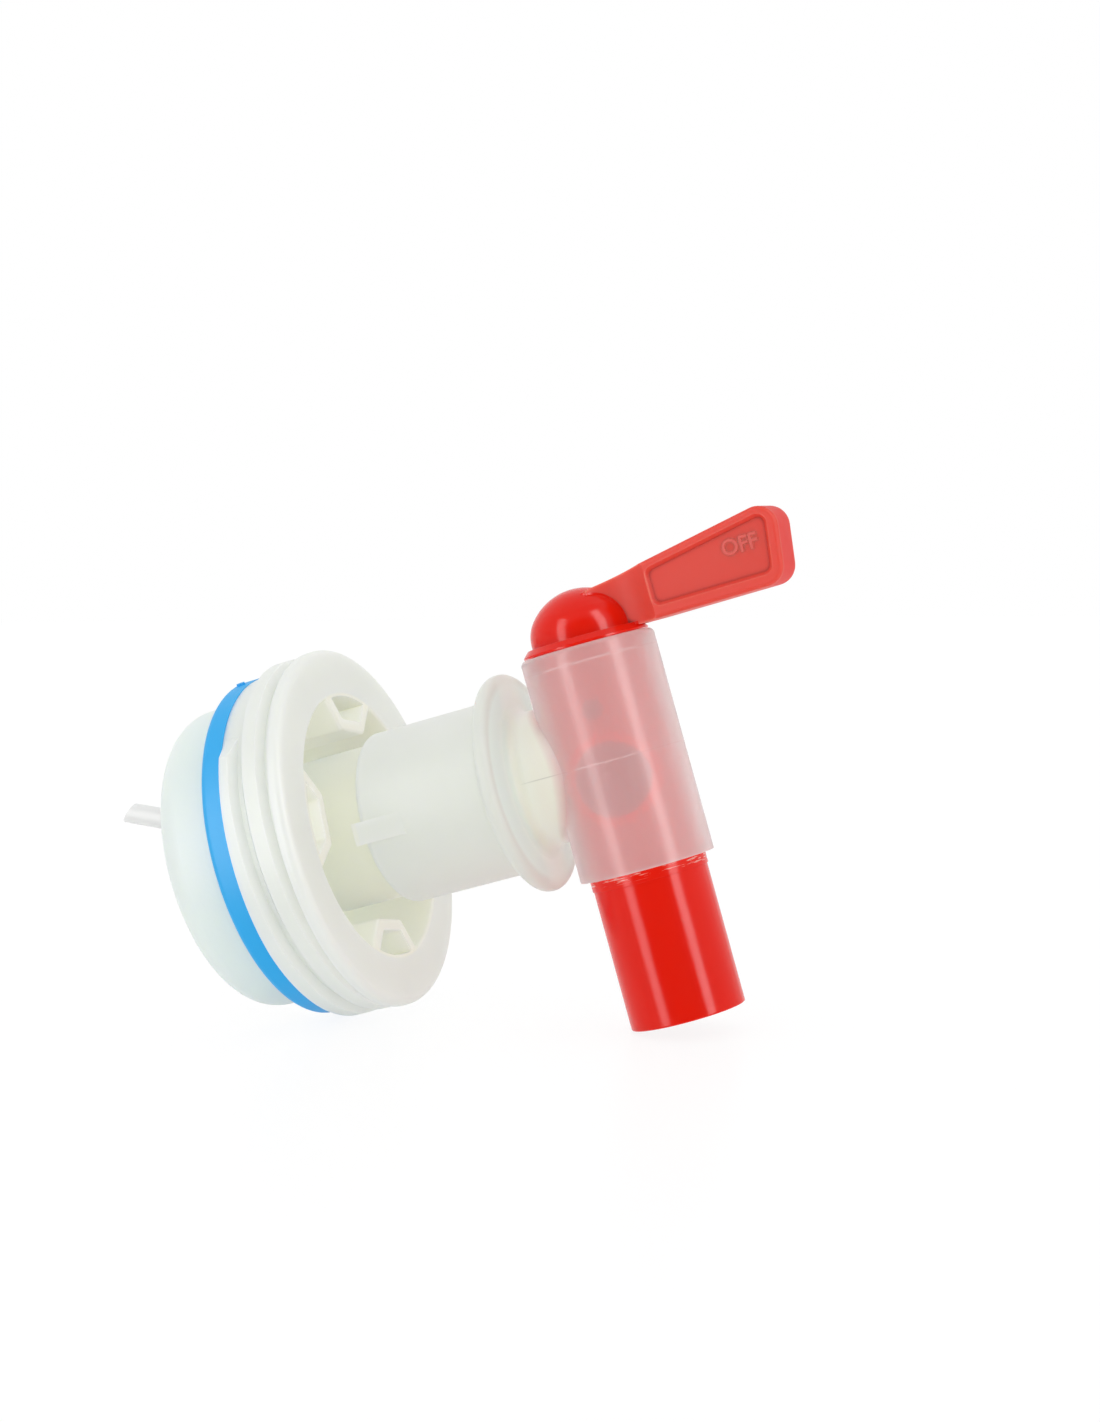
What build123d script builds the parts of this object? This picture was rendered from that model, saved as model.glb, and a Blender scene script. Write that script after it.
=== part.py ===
from build123d import *
import math
import os

# Plug tap for a jerrycan: a tap screwed through a threaded closure plug, with an air tube on the inside.
# Frame: origin on the plug's axis at the middle of its thread, +X out of the container, +Z up to the lever.
# All sizes are in millimetres.

# Closure plug
rim_radius = 30.0
rim_thickness = 2.2
rim_edge_round = 1.3
rim_overhang = 0.3
mouth_round = 0.5
thread_length = 9.4
thread_pitch = 5.0
thread_depth = 1.5
thread_root_width = 4.2
thread_crest_width = 2.4
thread_turns = 2.25
thread_sink = 0.6
thread_start_angle = 42.0
thread_start_x = -4.1
thread_lead_angle = 14.0
thread_foot_gap = 0.5
cup_step = 2.9
cup_depth = 15.0
cup_edge_round = 4.5
cup_wall = 3.2
floor_thickness = 3.0
boss_wall = 3.2
boss_height = 7.5

# Wrench lugs inside the plug
lug_count = 4
lug_phase = -10.0
lug_inner_reach = 15.8
lug_inner_width = 8.3
lug_base_width = 18.4
lug_wall = 1.9
lug_sink = 1.4
lug_edge_round = 0.9
pocket_inset = 0.2
pocket_depth = 13.0

# Sealing ring under the thread
gasket_thickness = 4.0
gasket_proud = 0.1
gasket_edge_round = 1.2
gasket_fit = 0.05
gate_nub_radius = 0.7
gate_nub_height = 0.35
gate_nub_angle = 11.0

# Tap body
tap_reach = 51.2
spigot_radius = 12.75
spigot_fit = 0.05
shank_radius = 14.2
shank_length = 22.7
shank_edge_round = 1.3
collar_radius = 17.9
collar_thickness = 2.5
collar_face_reach = 14.8
collar_edge_round = 1.1
collar_root_round = 1.6
neck_half_height = 11.0
neck_half_width = 8.75
neck_root_round = 2.0
stop_rib_length = 8.4
stop_rib_overhang = 0.9
stop_rib_width = 3.6
stop_rib_drop = 0.8
stop_rib_height = 0.9
barrel_radius = 10.92
barrel_wall = 1.6
barrel_top = 18.6
barrel_bottom = -17.7
barrel_edge_round = 0.9
passage_wall = 2.4
passage_crown = 4.6
liquid_port_radius = 5.9
liquid_port_height = -2.9
vent_port_radius = 1.65
vent_height = 8.3

# Air tube
tube_radius = 1.75
tube_bore_radius = 1.1
tube_fit = 0.06
tube_socket_depth = 9.0
tube_straight = 0.4
tube_bend_radius = 27.0
tube_bend_angle = 23.0
tube_run = 7.6
tube_tip_slant = 25.0

# Key: hollow plug, spout, cap and lever in one moulding
key_fit = 0.06
key_wall = 1.7
key_roof = 12.5
port_lead = 8.0
spout_radius = 9.3
spout_bottom = -42.3
spout_edge_round = 0.3
seat_gap = 0.12
flange_radius = 10.2
flange_thickness = 1.2
flange_bevel = 0.9
dome_radius = 8.5
dome_height = 7.2
dome_corner_round = 6.0
dome_base_rise = 0.6
bead_radius = 9.47
bead_height = 1.8
bead_edge_round = 0.12
lever_thickness = 8.6
lever_reach = 36.8
lever_root_height = 6.8
lever_tip_height = 13.1
lever_end_lean = 1.8
lever_lift = 0.6
lever_corner_round = 3.2
lever_edge_round = 0.7
panel_start = 13.6
panel_low_margin = 1.8
panel_top_margin = 1.2
panel_end_margin = 1.6
panel_corner_round = 1.6
panel_depth = 0.8
panel_draft = 0.6
waist_radius = 7.0
waist_depth = 2.2
waist_place = 8.6

# Two places closer than this are the same place
same_place = 1e-4

# Radii of the plug, from the rim inwards
thread_crest_radius = rim_radius - rim_overhang
thread_core_radius = thread_crest_radius - thread_depth
gasket_radius = thread_core_radius + gasket_proud
cup_radius = thread_core_radius - cup_step
recess_radius = cup_radius - cup_wall

# Places along the plug's axis, measured from the middle of the thread
thread_half = thread_length / 2
rim_face_x = thread_half + rim_thickness
cup_bottom_x = -thread_half - cup_depth
floor_x = cup_bottom_x + floor_thickness
collar_face_x = tap_reach - collar_face_reach
collar_back_x = collar_face_x - collar_thickness
shank_end_x = collar_back_x - shank_length

# Radii of the fits
barrel_bore = barrel_radius - barrel_wall
key_radius = barrel_bore - key_fit
vent_bore = tube_radius + tube_fit

# Heights on the key's axis
seat_z = barrel_top + seat_gap
flange_top = seat_z + flange_thickness
lever_low = seat_z + lever_lift

# The plug is drawn about its own axis: up the page is along +X, the page's right is +Z
plug_plane = Plane(origin=(0, 0, 0), x_dir=(0, 0, 1), z_dir=(1, 0, 0))


def along_plug(shape):
    """Turns a shape drawn about the local Z axis so that its axis is the plug's axis."""
    return plug_plane.location * shape


def disc(radius, low, high):
    """A plain cylinder about the local Z axis between two heights."""
    return Pos(0, 0, low) * Cylinder(radius, high - low, align=(Align.CENTER, Align.CENTER, Align.MIN))


def circles_at(part, height, radius):
    """The circular edges of one radius at one height."""
    circles = part.edges().filter_by(GeomType.CIRCLE)
    level = [e for e in circles if abs(e.center().Z - height) < same_place]
    return [e for e in level if abs(e.radius - radius) < same_place]


def thread_ridge():
    """The plug's thread: one right-handed ridge that starts at the gasket and runs out into the rim."""
    path = Helix(thread_pitch, thread_turns * thread_pitch, thread_core_radius)
    root = thread_root_width / 2
    crest = thread_crest_width / 2
    outline = Polyline(
        (-thread_sink, -root),
        (0, -root),
        (thread_depth, -crest),
        (thread_depth, crest),
        (0, root),
        (-thread_sink, root),
        close=True,
    )
    section_plane = Plane(origin=path @ 0, x_dir=(1, 0, 0), z_dir=path % 0)
    ridge = sweep(section_plane * make_face(outline), path=path, is_frenet=True)
    ridge = Pos(0, 0, thread_start_x) * Rot(0, 0, thread_start_angle) * ridge
    return ridge & disc(rim_radius, thread_foot_gap - thread_half, rim_face_x - rim_edge_round)


def thread_lead_cut():
    """A wedge that ramps the first stretch of the ridge up from the core."""
    lead = math.radians(thread_lead_angle)
    low = thread_core_radius - thread_sink
    foot = (low, -thread_sink)
    top = (thread_crest_radius * math.cos(lead), thread_crest_radius * math.sin(lead))
    out = rim_radius + thread_sink
    outline = Polyline(foot, top, (out, top[1]), (out, foot[1]), close=True)
    wedge = extrude(make_face(outline), thread_half + thread_start_x + thread_pitch / 2)
    return Pos(0, 0, -thread_half) * Rot(0, 0, thread_start_angle) * wedge


def lug_outline(grow, outer):
    """One wrench lug seen along the plug's axis, pointing along local +X, shrunk by grow on three sides."""
    slope = (lug_base_width - lug_inner_width) / 2 / (recess_radius - lug_inner_reach)
    inner = lug_inner_reach + grow
    side = grow * math.hypot(1, slope)
    inner_half = lug_inner_width / 2 + slope * grow - side
    outer_half = inner_half + slope * (outer - inner)
    points = [(inner, -inner_half), (outer, -outer_half), (outer, outer_half), (inner, inner_half)]
    face = make_face(Polyline(*points, close=True))
    corners = face.vertices().sort_by(Axis.X)[:2]
    return fillet(corners, lug_edge_round)


def threaded_plug():
    """The closure plug: rim, thread, cup, four cored wrench lugs and the boss that takes the tap's spigot."""
    body = disc(rim_radius, thread_half, rim_face_x)
    body += disc(thread_core_radius, -thread_half, thread_half)
    body += disc(cup_radius, cup_bottom_x, -thread_half)
    body = fillet(circles_at(body, rim_face_x, rim_radius), rim_edge_round)
    body = fillet(circles_at(body, cup_bottom_x, cup_radius), cup_edge_round)
    body += thread_ridge() - thread_lead_cut()
    recess = Circle(recess_radius)
    for number in range(lug_count):
        turn = Rot(0, 0, lug_phase + number * 360 / lug_count)
        recess -= turn * lug_outline(0, recess_radius + lug_sink)
    body -= Pos(0, 0, floor_x) * extrude(recess, rim_face_x - floor_x)
    flat = [e for e in body.edges() if abs(e.center().Z - rim_face_x) < same_place]
    mouth = [e for e in flat if math.hypot(e.center().X, e.center().Y) < recess_radius + mouth_round]
    body = fillet(mouth, mouth_round)
    pocket = lug_outline(lug_wall, recess_radius + lug_sink) & Circle(recess_radius - pocket_inset)
    for number in range(lug_count):
        turn = Rot(0, 0, lug_phase + number * 360 / lug_count)
        body -= Pos(0, 0, rim_face_x) * turn * extrude(pocket, -pocket_depth)
    hole_radius = spigot_radius + spigot_fit
    body += disc(hole_radius + boss_wall, floor_x, floor_x + boss_height)
    body -= disc(hole_radius, cup_bottom_x, floor_x + boss_height)
    return along_plug(body)


def plug_gasket():
    """The sealing ring that sits on the cup, against the foot of the thread."""
    ring = disc(gasket_radius, -thread_half - gasket_thickness, -thread_half)
    ring = fillet(circles_at(ring, -thread_half - gasket_thickness, gasket_radius), gasket_edge_round)
    nub_height = -thread_half - gasket_thickness / 2
    nub = Pos(0, 0, nub_height) * Rot(0, 0, gate_nub_angle) * Rot(0, 90, 0)
    ring += nub * disc(gate_nub_radius, gasket_radius - gate_nub_radius, gasket_radius + gate_nub_height)
    ring -= disc(cup_radius + gasket_fit, -thread_half - gasket_thickness, -thread_half)
    return along_plug(ring)


def passage_outline():
    """The liquid passage's section: a circle with its crown left solid for the air passage."""
    radius = spigot_radius - passage_wall
    keep = Pos(-passage_crown, 0) * Rectangle(2 * radius, 2 * radius)
    return Circle(radius) & keep


def stop_rib():
    """The small rib at the shank's end, which slopes down into the shank, drawn about the local Z axis."""
    start = shank_end_x - stop_rib_overhang
    end = start + stop_rib_length
    reach = shank_radius + stop_rib_height
    side = Polyline((0, start), (reach, start), (shank_radius, end), (0, end), close=True)
    rib = extrude(Plane.YZ * make_face(side), stop_rib_width / 2, both=True)
    return Pos(-stop_rib_drop, 0, 0) * rib


def tap_body():
    """The tap's moulding: spigot, shank, collar, neck and the upright barrel that holds the key."""
    run = disc(shank_radius, shank_end_x, collar_back_x)
    run = fillet(circles_at(run, shank_end_x, shank_radius), shank_edge_round)
    run += disc(collar_radius, collar_back_x, collar_face_x)
    rims = circles_at(run, collar_back_x, collar_radius) + circles_at(run, collar_face_x, collar_radius)
    run = fillet(rims, collar_edge_round)
    run = fillet(circles_at(run, collar_back_x, shank_radius), collar_root_round)
    run += disc(spigot_radius, cup_bottom_x, shank_end_x)
    neck = Ellipse(neck_half_height, neck_half_width)
    run += Pos(0, 0, collar_face_x) * extrude(neck, tap_reach - collar_face_x)
    ovals = run.edges().filter_by(GeomType.ELLIPSE)
    run = fillet([e for e in ovals if abs(e.center().Z - collar_face_x) < same_place], neck_root_round)
    rib = stop_rib()
    run += rib
    run += mirror(rib, about=Plane.XZ)
    passage_length = collar_face_x - passage_wall - cup_bottom_x
    run -= Pos(0, 0, cup_bottom_x) * extrude(passage_outline(), passage_length)
    run -= Pos(liquid_port_height, 0) * disc(liquid_port_radius, cup_bottom_x, tap_reach)
    run -= Pos(vent_height, 0) * disc(vent_bore, cup_bottom_x, tap_reach)
    body = along_plug(run)
    barrel = Pos(tap_reach, 0, 0) * disc(barrel_radius, barrel_bottom, barrel_top)
    barrel = fillet(circles_at(barrel, barrel_top, barrel_radius), barrel_edge_round)
    ports = along_plug(Pos(liquid_port_height, 0) * disc(liquid_port_radius, collar_face_x, tap_reach))
    ports += along_plug(Pos(vent_height, 0) * disc(vent_bore, collar_face_x, tap_reach))
    body += barrel - ports
    return body - Pos(tap_reach, 0, 0) * disc(barrel_bore, barrel_bottom, barrel_top)


def vent_tube():
    """The air tube pushed into the spigot's end: a bend at its root, a straight run and a slanted tip."""
    start = Vector(cup_bottom_x + tube_socket_depth, 0, vent_height)
    bend = Vector(cup_bottom_x - tube_straight, 0, vent_height)
    turn = math.radians(tube_bend_angle)
    middle = bend + Vector(-math.sin(turn / 2), 0, 1 - math.cos(turn / 2)) * tube_bend_radius
    arc_end = bend + Vector(-math.sin(turn), 0, 1 - math.cos(turn)) * tube_bend_radius
    tip = arc_end + Vector(-math.cos(turn), 0, math.sin(turn)) * tube_run
    path = Line(start, bend) + ThreePointArc(bend, middle, arc_end) + Line(arc_end, tip)
    across = Plane(origin=start, x_dir=(0, 1, 0), z_dir=(-1, 0, 0))
    tube = sweep(across * Circle(tube_radius), path=path)
    tube -= sweep(across * Circle(tube_bore_radius), path=path)
    size = 8 * tube_radius
    cutter = Box(size, size, size, align=(Align.MAX, Align.CENTER, Align.CENTER))
    return tube - Pos(tip) * Rot(0, tube_bend_angle + tube_tip_slant, 0) * Pos(tube_radius, 0, 0) * cutter


def lever_side(low_margin, top_margin, end_margin, start):
    """The lever's side view in X and Z from the key's axis, drawn inside its edges by three margins."""
    slope = (lever_tip_height - lever_root_height) / lever_reach
    lean = lever_end_lean / lever_tip_height
    low = lever_low + low_margin
    top_start = lever_low + lever_root_height - top_margin
    end_low = lever_reach - lever_end_lean - end_margin
    tip = (end_low + lean * (top_start - lever_low)) / (1 - lean * slope)
    points = [
        (start, low),
        (end_low + lean * low_margin, low),
        (tip, top_start + slope * tip),
        (start, top_start + slope * start),
    ]
    return make_face(Polyline(*points, close=True))


def sunk_panel(half):
    """The hollow of the front panel, whose walls slope in from the face to the floor."""
    sections = []
    for draft, depth in ((0, 0), (panel_draft, panel_depth)):
        margins = [panel_low_margin + draft, panel_top_margin + draft, panel_end_margin + draft]
        outline = lever_side(*margins, panel_start + draft)
        outline = fillet(outline.vertices(), panel_corner_round - draft)
        sections.append(Plane.XZ.offset(half - depth) * outline)
    return loft(sections, ruled=True)


def key_lever():
    """The lever: a tapered plate with rounded corners, a waist by the cap and a sunk panel on each face."""
    side = lever_side(0, 0, 0, 0)
    side = fillet(side.vertices().sort_by(Axis.X)[2:], lever_corner_round)
    half = lever_thickness / 2
    plate = extrude(Plane.XZ * side, half, both=True)
    outer = [e for e in plate.edges() if e.center().X > lever_edge_round]
    rims = [e for e in outer if abs(abs(e.center().Y) - half) < same_place]
    plate = fillet(rims, lever_edge_round)
    panel = sunk_panel(half)
    waist = disc(waist_radius, lever_low - waist_radius, lever_low + 2 * lever_tip_height)
    plate -= panel
    plate -= mirror(panel, about=Plane.XZ)
    for side_sign in (-1, 1):
        plate -= Pos(waist_place, side_sign * (half + waist_radius - waist_depth), 0) * waist
    return plate


def key_cap():
    """The key's flange and its domed cap, about the key's axis."""
    cap = disc(flange_radius, seat_z, flange_top)
    cap = chamfer(circles_at(cap, flange_top, flange_radius), flange_bevel)
    foot = flange_top + dome_base_rise
    inset = dome_radius - dome_corner_round
    spread = inset**2 + dome_height**2 - dome_corner_round**2
    crown = spread / (2 * (dome_height - dome_corner_round))
    meet = math.atan2(crown - dome_height, inset)
    corner = CenterArc((inset, foot), dome_corner_round, 0, math.degrees(meet))
    top = CenterArc((0, foot + dome_height - crown), crown, math.degrees(meet), 90 - math.degrees(meet))
    edge = Polyline((0, foot + dome_height), (0, seat_z), (dome_radius, seat_z), (dome_radius, foot))
    profile = Plane.XZ * make_face(corner + top + edge)
    return cap + revolve(profile, axis=Axis.Z)


def tap_key():
    """The key: hollow plug with two ports, retaining bead, spout, flange, domed cap and lever."""
    bead_top = barrel_bottom - seat_gap
    key = disc(key_radius, bead_top, seat_z)
    bead = disc(bead_radius, bead_top - bead_height, bead_top)
    key += fillet(circles_at(bead, bead_top - bead_height, bead_radius), bead_edge_round)
    spout = disc(spout_radius, spout_bottom, bead_top)
    key += fillet(circles_at(spout, spout_bottom, spout_radius), spout_edge_round)
    key -= disc(spout_radius - key_wall, spout_bottom, key_roof)
    outward = Rot(0, 0, port_lead) * Rot(90, 0, 0)
    key -= Pos(0, 0, liquid_port_height) * outward * disc(liquid_port_radius, 0, 2 * key_radius)
    key -= Pos(0, 0, vent_height) * outward * disc(vent_port_radius, 0, 2 * key_radius)
    key += key_cap() + key_lever()
    return Pos(tap_reach, 0, 0) * key


def build():
    pieces = {
        "threaded_plug": threaded_plug(),
        "plug_gasket": plug_gasket(),
        "tap_body": tap_body(),
        "vent_tube": vent_tube(),
        "tap_key": tap_key(),
    }
    os.makedirs("parts", exist_ok=True)
    for name, piece in pieces.items():
        piece.label = name
        export_step(piece, "parts/" + name + ".step")


build()
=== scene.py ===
import math

import bpy
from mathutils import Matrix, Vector


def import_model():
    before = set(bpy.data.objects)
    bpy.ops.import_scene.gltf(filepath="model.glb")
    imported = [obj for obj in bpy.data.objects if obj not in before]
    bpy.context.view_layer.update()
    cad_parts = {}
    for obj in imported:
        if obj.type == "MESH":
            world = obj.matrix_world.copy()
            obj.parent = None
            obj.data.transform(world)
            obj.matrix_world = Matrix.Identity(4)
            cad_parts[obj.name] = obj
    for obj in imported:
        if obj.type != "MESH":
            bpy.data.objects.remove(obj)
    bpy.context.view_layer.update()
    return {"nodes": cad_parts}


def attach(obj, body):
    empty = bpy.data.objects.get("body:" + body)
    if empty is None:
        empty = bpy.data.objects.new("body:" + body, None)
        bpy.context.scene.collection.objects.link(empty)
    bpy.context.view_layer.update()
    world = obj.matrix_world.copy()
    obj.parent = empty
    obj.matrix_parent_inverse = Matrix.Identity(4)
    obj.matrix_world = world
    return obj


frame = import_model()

# Plug tap for a jerrycan, lying on a white bench with its lever at OFF.
# The frame is the CAD frame: origin on the plug's axis at the middle of the thread, +X out of the container,
# +Z up to the lever. Sizes are in millimetres unless a name says otherwise, and mm turns them into metres.

mm = 0.001

# Places on the plug
thread_end_x = -4.7
thread_radius = 29.7
recess_radius = 22.1
recess_back_x = -17.7
cup_start_x = -8.7

# Places on the tap body
shank_end_x = 11.2
collar_face_x = 36.4
collar_radius = 17.9
barrel_radius = 10.92
barrel_top = 18.6
barrel_bottom = -17.7
rim_line_drop = 2.6

# Places on the key
key_axis_x = 51.2
bore_radius = 9.0
cap_radius = 8.5
cap_height = 7.2
cap_foot_z = 20.52
flange_radius = 10.2
flange_top = 19.92
spout_radius = 9.3
spout_end_z = -42.3
port_height = -2.9
port_radius = 5.9
port_lead_deg = 8.0
panel_floor_y = -3.5
tip_start_x = 82.4
tip_half_width = 3.4
scuff_drop = 0.7

# Blends: the two offsets from a place between which a tint comes in or fades out
cup_blend = (-1.0, 0.0)
recess_blend = (0.0, 0.5)
spigot_blend = (-0.5, 0.0)
neck_blend = (-0.5, 1.0)
neck_seam_blend = (1.0, 2.0)
face_blend = (-0.6, -0.4)
face_end_blend = (0.1, 0.6)
collar_rim_blend = (-2.2, -1.2)
barrel_blend = (0.05, 1.4)
shelter_foot_blend = (0.0, 0.2)
shelter_top_blend = (-0.2, 0.0)
bore_blend = (-0.1, 0.1)
port_blend = (1.0, 1.8)
port_side_blend = (-2.0, 0.0)
flange_blend = (-0.05, 0.05)
arm_blend = (0.05, 0.2)
tip_blend = (0.0, 1.0)
tip_width_blend = (-0.5, 0.0)

# The cap's skin, in shares of the cap's own size
cap_skin = (1.01, 1.03)

# Fine lines, by half their width
seam_half_width = 0.12
rim_line_half_width = 0.16
top_edge_half_width = 0.5
bottom_edge_half_width = 0.3
scuff_half_width = 0.7

# Moulded skin
tone_patch = 14.0
tone_swing = 0.03
gloss_patch = 3.0
gloss_swing = 0.02
noise_middle = (0.3, 0.7)
grain_detail = 3.0
fleck_size = 2.4
fleck_detail = 4.0
fleck_cut = (0.55, 0.62)
fleck_stretch = 9.0

# Corners and edges, for the painted shade and painted light in corners and the painted highlights on edges:
# how far the shape is felt, and the shares of open view at which they are full and gone
root_reach = 5.0
groove_reach = 0.9
edge_reach = 0.5
letter_edge_reach = 0.15
open_view = (0.55, 0.95)

# Finish
barrel_clarity = 0.69
line_clarity = 0.6
barrel_coat = 0.22
barrel_coat_roughness = 0.17
barrel_blur = 0.1
body_ior = 1.25
lever_dulling = 0.3
key_specular = 0.2
seam_shade = 0.8

# Shares of the straight light and of the bounced light that pass through a wall
pale_wall_share = (0.8, 0.8)
frosted_wall_share = (0.95, 0.95)
red_wall_share = (0.6, 0.95)

# Camera
camera_place = (185.294, -389.492, 4.008)
camera_turn_deg = (90.864, 15.384, 20.391)
camera_lens_mm = 65.754
sensor_height_mm = 36.0
nearest_seen_m = 0.01

# Lettering on the lever
letter_height = 2.5
letter_raise = 0.14
letter_bevel = 0.06
letter_place = (77.7, 25.6)
capital_share = 0.73

# Colours, as linear light
white = (1.0, 1.0, 1.0)
plug_white = (0.85, 0.88, 0.83)
# Painted glow that lifts the shade in the plug's recess
recess_painted_glow = (0.92, 0.93, 0.79)
cup_white = (0.83, 0.90, 0.87)
body_white = (0.82, 0.84, 0.79)
spigot_cream = (0.84, 0.85, 0.73)
neck_cream = (0.85, 0.84, 0.75)
# Painted light for the corners past the collar's face
root_painted_light = (0.91, 0.95, 0.87)
# Painted light: a cooler white that cancels the pink bounced light on the collar's face
collar_face_painted_light = (0.81, 0.88, 0.83)
# Painted shade for the collar's rim
collar_rim_painted_shade = (0.75, 0.77, 0.72)
# The barrel's milky white, painted pink with red light from the key inside
barrel_milk_and_painted_glow = (0.82, 0.63, 0.62)
tube_white = (0.82, 0.82, 0.81)
gasket_blue = (0.004, 0.43, 0.92)
key_red = (0.78, 0.011, 0.002)
# The key's red with painted shade, where the barrel covers it
hidden_red_painted_shade = (0.68, 0.050, 0.048)
seal_red = (0.88, 0.006, 0.003)
# Painted shade inside the key's bore
bore_painted_shade = (0.52, 0.085, 0.11)
# The lever's red, paler with painted sheen
lever_red_and_painted_sheen = (0.76, 0.070, 0.048)
tip_red = (0.76, 0.018, 0.008)
# Painted shade for the lever's corners
groove_painted_shade = (0.30, 0.010, 0.008)
# Painted highlights for the lever's edges
edge_painted_highlight = (0.85, 0.18, 0.135)
# Painted highlights for the letters' edges
letter_edge_painted_highlight = (0.82, 0.12, 0.09)
scuff_pink = (0.85, 0.42, 0.36)
bench_white = (0.9, 0.9, 0.9)

# Bench and light
bench_half_m = 1.5
bench_roughness = 0.35
bench_glow_share = 0.85
bench_glow = 1.04
sky_level = 0.92
room_level = 0.06
room_turn_deg = -72.0
room_inner_deg = 36.0
room_outer_deg = 48.0
strip_rise_deg = 18.6
strip_distance_m = 0.75
strip_width_m = 0.24
strip_height_m = 0.9
left_strip_turn_deg = -118.5
left_strip_watts = 4.3
right_strip_turn_deg = -24.5
right_strip_watts = 5.75


def link(tree, source, target):
    """Joins two sockets."""
    tree.links.new(source, target)


def feed(tree, socket, value):
    """Gives a socket a number, a colour or what another node says."""
    if isinstance(value, (int, float)):
        socket.default_value = value
    elif isinstance(value, tuple):
        socket.default_value = (*value, 1.0)
    else:
        link(tree, value, socket)


def maths(tree, kind, first, second=0.0):
    """One step of arithmetic on two sockets or numbers."""
    node = tree.nodes.new("ShaderNodeMath")
    node.operation = kind
    feed(tree, node.inputs[0], first)
    feed(tree, node.inputs[1], second)
    return node.outputs["Value"]


def times(tree, first, second):
    """The product of two sockets or numbers."""
    return maths(tree, "MULTIPLY", first, second)


def plus(tree, first, second):
    """The sum of two sockets or numbers."""
    return maths(tree, "ADD", first, second)


def minus(tree, first, second):
    """The first socket or number less the second."""
    return maths(tree, "SUBTRACT", first, second)


def larger(tree, first, second):
    """The larger of two sockets or numbers."""
    return maths(tree, "MAXIMUM", first, second)


def noise(tree, place, size, detail=2.0):
    """Noise whose features are about size millimetres across."""
    node = tree.nodes.new("ShaderNodeTexNoise")
    node.inputs["Scale"].default_value = 1.0 / (size * mm)
    node.inputs["Detail"].default_value = detail
    link(tree, place, node.inputs["Vector"])
    return node.outputs["Fac"]


def remap(tree, value, low, high, new_low, new_high):
    """Moves a value from one range to another and stops at the ends."""
    node = tree.nodes.new("ShaderNodeMapRange")
    node.inputs["From Min"].default_value = low
    node.inputs["From Max"].default_value = high
    node.inputs["To Min"].default_value = new_low
    node.inputs["To Max"].default_value = new_high
    link(tree, value, node.inputs["Value"])
    return node.outputs["Result"]


def step_up(tree, value, at, blend):
    """0 before a place in millimetres and 1 past it."""
    low, high = [(at + offset) * mm for offset in blend]
    return remap(tree, value, low, high, 0.0, 1.0)


def step_down(tree, value, at, blend):
    """1 before a place in millimetres and 0 past it."""
    low, high = [(at + offset) * mm for offset in blend]
    return remap(tree, value, low, high, 1.0, 0.0)


def thin_line(tree, value, at, half_width):
    """1 on a fine line where a coordinate has one value, 0 beside it."""
    offset = maths(tree, "ABSOLUTE", minus(tree, value, at * mm))
    return remap(tree, offset, 0.5 * half_width * mm, half_width * mm, 1.0, 0.0)


def split(tree, place):
    """The three coordinates in metres."""
    node = tree.nodes.new("ShaderNodeSeparateXYZ")
    link(tree, place, node.inputs["Vector"])
    return node.outputs["X"], node.outputs["Y"], node.outputs["Z"]


def from_line(tree, first, second):
    """The distance from a line, from the two offsets square to it."""
    squares = [times(tree, side, side) for side in (first, second)]
    return maths(tree, "SQRT", plus(tree, *squares))


def from_key_axis(tree, x, y):
    """The distance from the key's axis in metres."""
    return from_line(tree, minus(tree, x, key_axis_x * mm), y)


def corner(tree, outward, reach):
    """1 along the edges that stand out, or along the corners that go in, and 0 on open faces."""
    node = tree.nodes.new("ShaderNodeAmbientOcclusion")
    node.inside = outward
    node.inputs["Distance"].default_value = reach * mm
    return remap(tree, node.outputs["AO"], *open_view, 1.0, 0.0)


def bump(tree, shader, height, distance):
    """Lets a height in millimetres tilt the surface."""
    node = tree.nodes.new("ShaderNodeBump")
    node.inputs["Distance"].default_value = distance * mm
    link(tree, height, node.inputs["Height"])
    link(tree, node.outputs["Normal"], shader.inputs["Normal"])


def mix_colour(tree, amount, first, second):
    """Goes from the first colour to the second with the amount."""
    node = tree.nodes.new("ShaderNodeMix")
    node.data_type = "RGBA"
    link(tree, amount, node.inputs["Factor"])
    sockets = [socket for socket in node.inputs if socket.type == "RGBA"]
    feed(tree, sockets[0], first)
    feed(tree, sockets[1], second)
    return [socket for socket in node.outputs if socket.type == "RGBA"][0]


def mix_shader(tree, amount, first, second):
    """Goes from the first shader to the second with the amount."""
    node = tree.nodes.new("ShaderNodeMixShader")
    link(tree, amount, node.inputs["Fac"])
    link(tree, first, node.inputs[1])
    link(tree, second, node.inputs[2])
    return node.outputs["Shader"]


def shade(colour, factor):
    """A colour made lighter or darker."""
    return tuple(channel * factor for channel in colour)


def tint(tree, shader, amount, colour):
    """Mixes one more colour into what the shader's base colour is so far."""
    so_far = shader.inputs["Base Color"].links[0].from_socket
    link(tree, mix_colour(tree, amount, so_far, colour), shader.inputs["Base Color"])


def roughen(tree, shader, amount, extra):
    """Adds to what the shader's roughness is so far."""
    so_far = shader.inputs["Roughness"].links[0].from_socket
    link(tree, plus(tree, so_far, times(tree, amount, extra)), shader.inputs["Roughness"])


def glow_through(shader, weight, reach, spread):
    """Light that wanders inside a plastic and lifts its shadows."""
    shader.inputs["Subsurface Weight"].default_value = weight
    shader.inputs["Subsurface Scale"].default_value = reach * mm
    shader.inputs["Subsurface Radius"].default_value = spread


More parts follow.
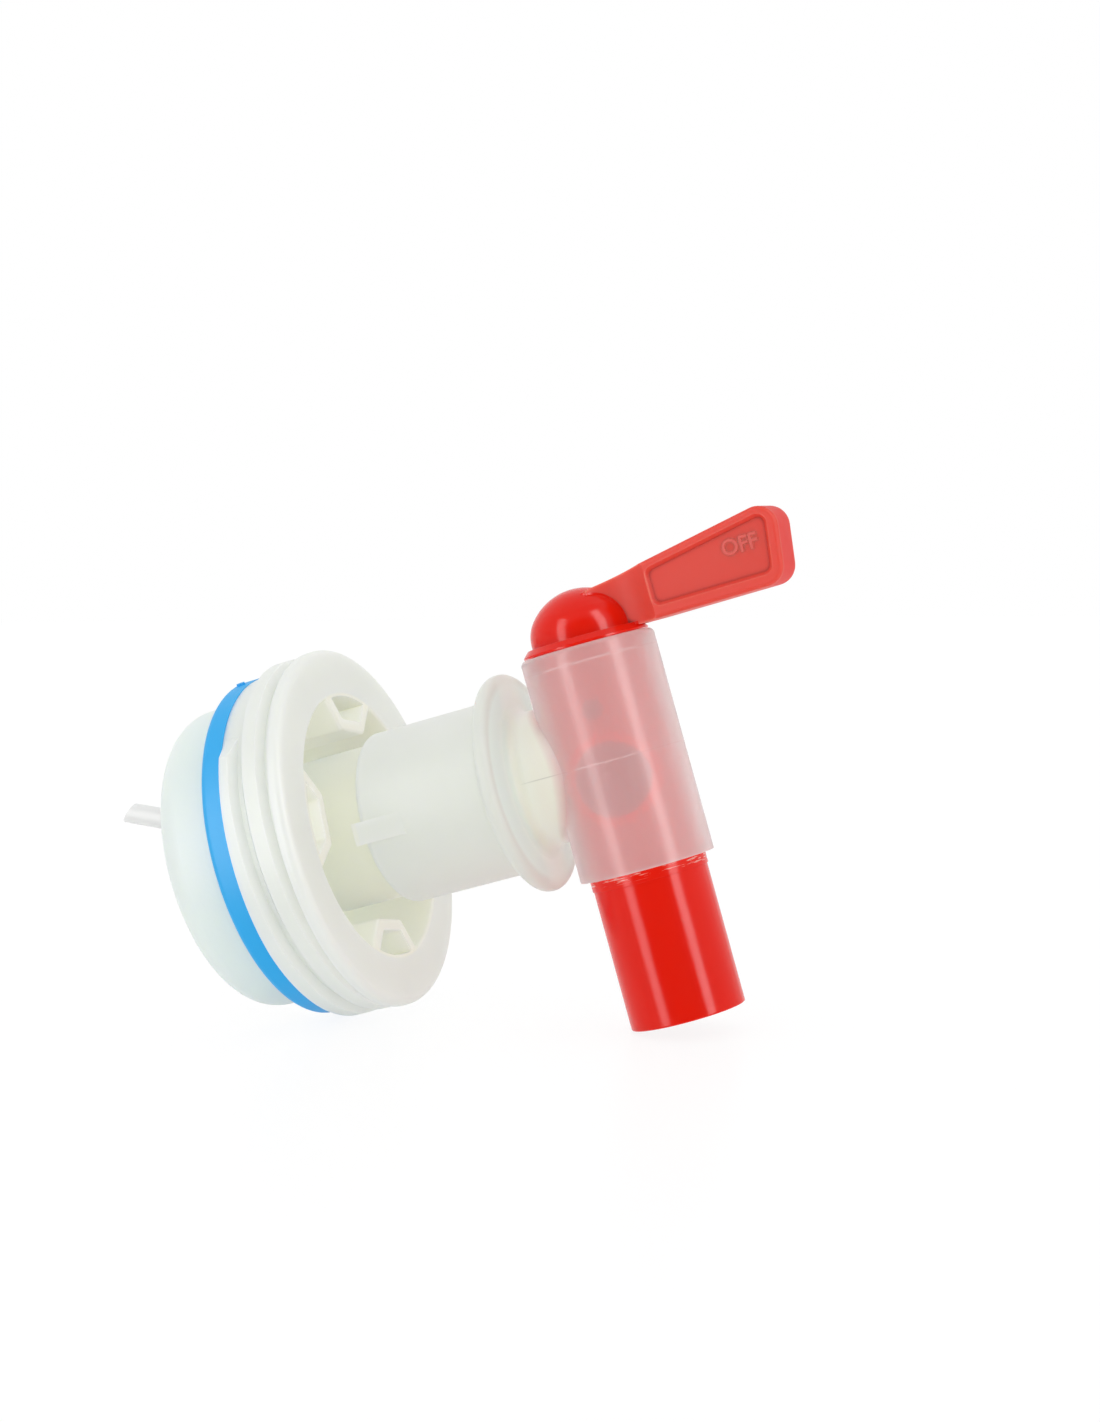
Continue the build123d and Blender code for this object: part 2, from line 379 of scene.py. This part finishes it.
def let_light_through(tree, shader, straight, bounced):
    """Lets shares of the straight and of the bounced or mirrored light pass through a translucent wall."""
    rays = tree.nodes.new("ShaderNodeLightPath").outputs
    mirrored = minus(tree, rays["Is Glossy Ray"], rays["Is Transmission Ray"])
    either = larger(tree, rays["Is Diffuse Ray"], mirrored)
    passed_straight = times(tree, rays["Is Shadow Ray"], straight)
    passed = larger(tree, passed_straight, times(tree, either, bounced))
    link(tree, minus(tree, 1.0, passed), shader.inputs["Alpha"])


def new_material(name):
    """An empty node material with its shader and its output."""
    material = bpy.data.materials.new(name)
    material.use_nodes = True
    tree = material.node_tree
    tree.nodes.clear()
    output = tree.nodes.new("ShaderNodeOutputMaterial")
    shader = tree.nodes.new("ShaderNodeBsdfPrincipled")
    link(tree, shader.outputs["BSDF"], output.inputs["Surface"])
    return material, shader, output


def moulded_plastic(name, colour, roughness, grain, grain_depth):
    """A moulded plastic with slow colour changes, uneven gloss and a fine skin, and its coordinates."""
    material, shader, output = new_material(name)
    tree = material.node_tree
    place = tree.nodes.new("ShaderNodeTexCoord").outputs["Object"]
    tones = shade(colour, 1.0 - tone_swing), shade(colour, 1.0 + tone_swing)
    link(tree, mix_colour(tree, noise(tree, place, tone_patch), *tones), shader.inputs["Base Color"])
    glosses = roughness - gloss_swing, roughness + gloss_swing
    uneven = remap(tree, noise(tree, place, gloss_patch), *noise_middle, *glosses)
    link(tree, uneven, shader.inputs["Roughness"])
    bump(tree, shader, noise(tree, place, grain, grain_detail), grain_depth)
    return material, shader, place


def plug_material():
    """Off-white polyethylene of the plug, cooler on the cup beside the seal, with painted glow in the
    recess: lighter and creamier there to lift its shade.
    """
    material, shader, place = moulded_plastic(
        "plug_plastic", plug_white, roughness=0.42, grain=0.7, grain_depth=0.02)
    glow_through(shader, weight=1.0, reach=2.5, spread=(1.0, 1.0, 0.9))
    tree = material.node_tree
    x, y, z = split(tree, place)
    tint(tree, shader, step_down(tree, x, cup_start_x, cup_blend), cup_white)
    inside = step_down(tree, from_line(tree, y, z), recess_radius, recess_blend)
    above_floor = step_up(tree, x, recess_back_x, recess_blend)
    # Painted glow: the recess is made lighter and creamier to lift its shade.
    tint(tree, shader, times(tree, inside, above_floor), recess_painted_glow)
    let_light_through(tree, shader, *pale_wall_share)
    return material


def gasket_material():
    """Smooth blue seal."""
    return moulded_plastic("gasket_rubber", gasket_blue, roughness=0.48, grain=0.5, grain_depth=0.02)[0]


def tube_material():
    """Soft natural tubing."""
    material, shader, place = moulded_plastic(
        "tube_plastic", tube_white, roughness=0.4, grain=0.6, grain_depth=0.02)
    glow_through(shader, weight=1.0, reach=1.0, spread=(1.0, 1.0, 1.0))
    let_light_through(material.node_tree, shader, *pale_wall_share)
    return material


def body_tints(tree, shader, x, y, z):
    """The whites of spigot, collar and neck, with the moulding line on the neck, painted light on the
    collar's face and in the corners past it, and painted shade on the collar's rim.
    """
    tint(tree, shader, step_down(tree, x, shank_end_x, spigot_blend), spigot_cream)
    tint(tree, shader, step_up(tree, x, collar_face_x, neck_blend), neck_cream)
    seam = thin_line(tree, z, 0.0, seam_half_width)
    on_neck = step_up(tree, x, collar_face_x, neck_seam_blend)
    tint(tree, shader, times(tree, seam, on_neck), shade(neck_cream, seam_shade))
    past_face = step_up(tree, x, collar_face_x, face_blend)
    face = times(tree, past_face, step_down(tree, x, collar_face_x, face_end_blend))
    # Painted light: a cooler white on the collar's face cancels the pink light it gets from the key.
    tint(tree, shader, face, collar_face_painted_light)
    # Painted shade: darkens the collar's rim, which catches the most light.
    rim = step_up(tree, from_line(tree, y, z), collar_radius, collar_rim_blend)
    tint(tree, shader, rim, collar_rim_painted_shade)
    # Painted light: lightens the corners past the collar's face, where shade falls.
    tint(tree, shader, times(tree, corner(tree, False, root_reach), past_face), root_painted_light)


def barrel_lines(tree, z):
    """1 on the barrel's moulding line, on the line under its rim and at its two ends."""
    lines = thin_line(tree, z, 0.0, seam_half_width)
    lines = larger(tree, lines, thin_line(tree, z, barrel_top - rim_line_drop, rim_line_half_width))
    lines = larger(tree, lines, thin_line(tree, z, barrel_top, top_edge_half_width))
    return larger(tree, lines, thin_line(tree, z, barrel_bottom, bottom_edge_half_width))


def body_material():
    """Natural polyethylene: milky where it is thick, and frosted over the key where the barrel is thin, its
    milky white there painted pink with the key's red glow.
    """
    material, shader, place = moulded_plastic(
        "body_plastic", body_white, roughness=0.36, grain=0.6, grain_depth=0.015)
    glow_through(shader, weight=1.0, reach=2.5, spread=(1.0, 1.0, 0.9))
    tree = material.node_tree
    x, y, z = split(tree, place)
    body_tints(tree, shader, x, y, z)
    thin = step_down(tree, from_key_axis(tree, x, y), barrel_radius, barrel_blend)
    # Painted glow: the barrel's milky white is tinted pink with the red light of the key inside.
    tint(tree, shader, thin, barrel_milk_and_painted_glow)
    clear = remap(tree, barrel_lines(tree, z), 0.0, 1.0, barrel_clarity, line_clarity * barrel_clarity)
    link(tree, times(tree, thin, clear), shader.inputs["Transmission Weight"])
    link(tree, times(tree, thin, barrel_coat), shader.inputs["Coat Weight"])
    shader.inputs["Coat Roughness"].default_value = barrel_coat_roughness
    roughen(tree, shader, thin, barrel_blur)
    shader.inputs["IOR"].default_value = body_ior
    shares = [remap(tree, thin, 0.0, 1.0, *ends) for ends in zip(pale_wall_share, frosted_wall_share)]
    let_light_through(tree, shader, *shares)
    return material


def port_ring(tree, x, y, z):
    """1 on the lip round the key's port, which bears on the barrel, 0 elsewhere on the key."""
    lead = math.radians(port_lead_deg)
    along_x = times(tree, minus(tree, x, key_axis_x * mm), math.cos(lead))
    aside = plus(tree, along_x, times(tree, y, math.sin(lead)))
    distance = from_line(tree, aside, minus(tree, z, port_height * mm))
    near = step_down(tree, distance, port_radius, port_blend)
    return times(tree, near, step_down(tree, y, 0.0, port_side_blend))


def hidden_tints(tree, shader, x, y, z, sheltered):
    """The key's reds inside the barrel: duller with painted shade under the barrel, a lip round its port,
    and darker still with painted shade in its bore.
    """
    # Painted shade: the key is darker and duller under the barrel.
    tint(tree, shader, sheltered, hidden_red_painted_shade)
    tint(tree, shader, port_ring(tree, x, y, z), seal_red)
    # Painted shade: the key's bore is darker still.
    bore = step_down(tree, from_key_axis(tree, x, y), bore_radius, bore_blend)
    tint(tree, shader, times(tree, bore, sheltered), bore_painted_shade)


def scuffs(tree, shader, place, z):
    """Pale flecks, long and low, where the bead was pushed through the barrel."""
    drawn_out = tree.nodes.new("ShaderNodeMapping")
    drawn_out.inputs["Scale"].default_value = (1.0, 1.0, fleck_stretch)
    link(tree, place, drawn_out.inputs["Vector"])
    patches = noise(tree, drawn_out.outputs["Vector"], fleck_size, fleck_detail)
    flecks = remap(tree, patches, *fleck_cut, 0.0, 1.0)
    bead = thin_line(tree, z, barrel_bottom - scuff_drop, scuff_half_width)
    tint(tree, shader, times(tree, flecks, bead), scuff_pink)


def lever_part(tree, distance, z):
    """1 on the lever, 0 on the cap, the flange and all below."""
    across = maths(tree, "DIVIDE", distance, cap_radius * mm)
    up = maths(tree, "DIVIDE", minus(tree, z, cap_foot_z * mm), cap_height * mm)
    beyond_cap = remap(tree, from_line(tree, across, up), *cap_skin, 0.0, 1.0)
    above_flange = step_up(tree, z, flange_top, flange_blend)
    arm = step_up(tree, distance, flange_radius, arm_blend)
    return larger(tree, arm, times(tree, beyond_cap, above_flange))


def lever_tip(tree, x, y):
    """1 on the narrow face at the lever's tip, 0 on its two broad faces."""
    narrow = step_down(tree, maths(tree, "ABSOLUTE", y), tip_half_width, tip_width_blend)
    return times(tree, narrow, step_up(tree, x, tip_start_x, tip_blend))


def lever_tints(tree, shader, x, y, z):
    """The lever's duller skin, paler with painted sheen and in the plain deeper red at the tip, with painted
    shade in the corners and painted highlights on the edges.
    """
    lever = lever_part(tree, from_key_axis(tree, x, y), z)
    # Painted sheen: the lever's red is made paler, as a broad reflection shows it.
    tint(tree, shader, lever, lever_red_and_painted_sheen)
    tint(tree, shader, lever_tip(tree, x, y), tip_red)
    # Painted shade in the lever's corners.
    tint(tree, shader, times(tree, lever, corner(tree, False, groove_reach)), groove_painted_shade)
    # Painted highlights on the lever's edges.
    tint(tree, shader, times(tree, lever, corner(tree, True, edge_reach)), edge_painted_highlight)
    roughen(tree, shader, lever, lever_dulling)


def key_material():
    """Glossy red moulding, duller with painted shade inside the barrel, duller and paler with painted sheen
    on the lever, scuffed at the bead.
    """
    material, shader, place = moulded_plastic(
        "key_plastic", key_red, roughness=0.17, grain=0.8, grain_depth=0.001)
    glow_through(shader, weight=0.5, reach=6.0, spread=(1.0, 0.1, 0.05))
    tree = material.node_tree
    x, y, z = split(tree, place)
    above_foot = step_up(tree, z, barrel_bottom, shelter_foot_blend)
    sheltered = times(tree, above_foot, step_down(tree, z, barrel_top, shelter_top_blend))
    hidden_tints(tree, shader, x, y, z, sheltered)
    scuffs(tree, shader, place, z)
    lever_tints(tree, shader, x, y, z)
    shader.inputs["Specular IOR Level"].default_value = key_specular
    let_light_through(tree, shader, *[times(tree, sheltered, share) for share in red_wall_share])
    return material


def lettering_material():
    """The lever's dull red skin with its painted sheen, and painted highlights on the letters' edges."""
    material, shader, place = moulded_plastic(
        "lettering_plastic", lever_red_and_painted_sheen, roughness=0.47, grain=0.5, grain_depth=0.004)
    tree = material.node_tree
    # Painted highlights on the letters' edges.
    tint(tree, shader, corner(tree, True, letter_edge_reach), letter_edge_painted_highlight)
    return material


def dress(node, material):
    """Gives a CAD node its material."""
    obj = frame["nodes"][node]
    obj.data.materials.clear()
    obj.data.materials.append(material)


def lettering():
    """The raised word on the lever's panel."""
    curve = bpy.data.curves.new("lever_word", "FONT")
    curve.body = "OFF"
    curve.size = letter_height * mm / capital_share
    curve.extrude = letter_raise * mm
    curve.bevel_depth = letter_bevel * mm
    curve.bevel_resolution = 2
    curve.materials.append(lettering_material())
    word = bpy.data.objects.new("lever_word", curve)
    bpy.context.scene.collection.objects.link(word)
    word.location = (letter_place[0] * mm, panel_floor_y * mm, letter_place[1] * mm)
    word.rotation_euler = (math.radians(90), 0, 0)
    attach(word, "key")


def bench_material():
    """White to the eye, with a trace of the object's shadow, and clear to gloss, to lamps and from below."""
    material, shader, output = new_material("bench")
    tree = material.node_tree
    shader.inputs["Base Color"].default_value = (*bench_white, 1.0)
    shader.inputs["Roughness"].default_value = bench_roughness
    glow = tree.nodes.new("ShaderNodeEmission")
    glow.inputs["Strength"].default_value = bench_glow
    rays = tree.nodes.new("ShaderNodeLightPath").outputs
    seen = larger(tree, rays["Is Camera Ray"], rays["Is Transmission Ray"])
    share = times(tree, seen, bench_glow_share)
    glowing = mix_shader(tree, share, shader.outputs["BSDF"], glow.outputs["Emission"])
    from_below = tree.nodes.new("ShaderNodeNewGeometry").outputs["Backfacing"]
    clear = larger(tree, from_below, larger(tree, rays["Is Shadow Ray"], rays["Is Glossy Ray"]))
    nothing = tree.nodes.new("ShaderNodeBsdfTransparent").outputs["BSDF"]
    link(tree, mix_shader(tree, clear, glowing, nothing), output.inputs["Surface"])
    return material


def bench():
    """The bench top, which the tap touches at the thread's end and the spout's edge."""
    reach = key_axis_x - spout_radius - thread_end_x
    slope = math.atan2(spout_end_z + thread_radius, reach)
    half = bench_half_m
    mesh = bpy.data.meshes.new("bench")
    corners = [(-half, -half, 0), (half, -half, 0), (half, half, 0), (-half, half, 0)]
    mesh.from_pydata(corners, [], [(0, 1, 2, 3)])
    mesh.materials.append(bench_material())
    top = bpy.data.objects.new("bench", mesh)
    bpy.context.scene.collection.objects.link(top)
    top.location = (thread_end_x * mm, 0, -thread_radius * mm)
    top.rotation_euler = (0, -slope, 0)


def background(tree, strength):
    """White light of a strength that is a number or changes with the direction."""
    node = tree.nodes.new("ShaderNodeBackground")
    feed(tree, node.inputs["Color"], white)
    feed(tree, node.inputs["Strength"], strength)
    return node.outputs["Background"]


def room_strength(tree):
    """How bright the gloss sees its surroundings: dim towards the camera's side, bright elsewhere."""
    turn = math.radians(room_turn_deg)
    toward_room = tree.nodes.new("ShaderNodeVectorMath")
    toward_room.operation = "DOT_PRODUCT"
    toward_room.inputs[1].default_value = (math.cos(turn), math.sin(turn), 0.0)
    link(tree, tree.nodes.new("ShaderNodeTexCoord").outputs["Generated"], toward_room.inputs[0])
    outer, inner = [math.cos(math.radians(angle)) for angle in (room_outer_deg, room_inner_deg)]
    return remap(tree, toward_room.outputs["Value"], outer, inner, sky_level, room_level)


def world():
    """White to the eye, even light for matt surfaces, and a dim room for the gloss to mirror."""
    scene_world = bpy.data.worlds.new("studio")
    bpy.context.scene.world = scene_world
    scene_world.use_nodes = True
    tree = scene_world.node_tree
    tree.nodes.clear()
    rays = tree.nodes.new("ShaderNodeLightPath").outputs
    gloss = minus(tree, rays["Is Glossy Ray"], rays["Is Transmission Ray"])
    around = mix_shader(tree, gloss, background(tree, sky_level), background(tree, room_strength(tree)))
    seen = mix_shader(tree, rays["Is Camera Ray"], around, background(tree, 1.0))
    link(tree, seen, tree.nodes.new("ShaderNodeOutputWorld").inputs["Surface"])


def strip_lamp(name, turn_deg, watts):
    """A tall lamp for the gloss alone, which faces the barrel at a turn round the key's axis."""
    lamp = bpy.data.lights.new(name, "AREA")
    lamp.shape = "RECTANGLE"
    lamp.size = strip_width_m
    lamp.size_y = strip_height_m
    lamp.energy = watts
    obj = bpy.data.objects.new(name, lamp)
    obj.visible_diffuse = False
    bpy.context.scene.collection.objects.link(obj)
    turn = math.radians(turn_deg)
    rise = math.radians(strip_rise_deg)
    toward = Vector((math.cos(turn) * math.cos(rise), math.sin(turn) * math.cos(rise), math.sin(rise)))
    obj.location = Vector((key_axis_x * mm, 0, 0)) + toward * strip_distance_m
    obj.rotation_euler = (-toward).to_track_quat("-Z", "Y").to_euler()


def camera():
    """The photograph's viewpoint."""
    data = bpy.data.cameras.new("camera")
    data.sensor_fit = "VERTICAL"
    data.sensor_height = sensor_height_mm
    data.lens = camera_lens_mm
    data.clip_start = nearest_seen_m
    obj = bpy.data.objects.new("camera", data)
    bpy.context.scene.collection.objects.link(obj)
    obj.location = Vector(camera_place) * mm
    obj.rotation_euler = [math.radians(angle) for angle in camera_turn_deg]
    bpy.context.scene.camera = obj


dress("threaded_plug", plug_material())
dress("plug_gasket", gasket_material())
dress("tap_body", body_material())
dress("vent_tube", tube_material())
dress("tap_key", key_material())
lettering()
bench()
world()
strip_lamp("left_strip", left_strip_turn_deg, left_strip_watts)
strip_lamp("right_strip", right_strip_turn_deg, right_strip_watts)
camera()
bpy.context.scene.view_settings.view_transform = "Standard"
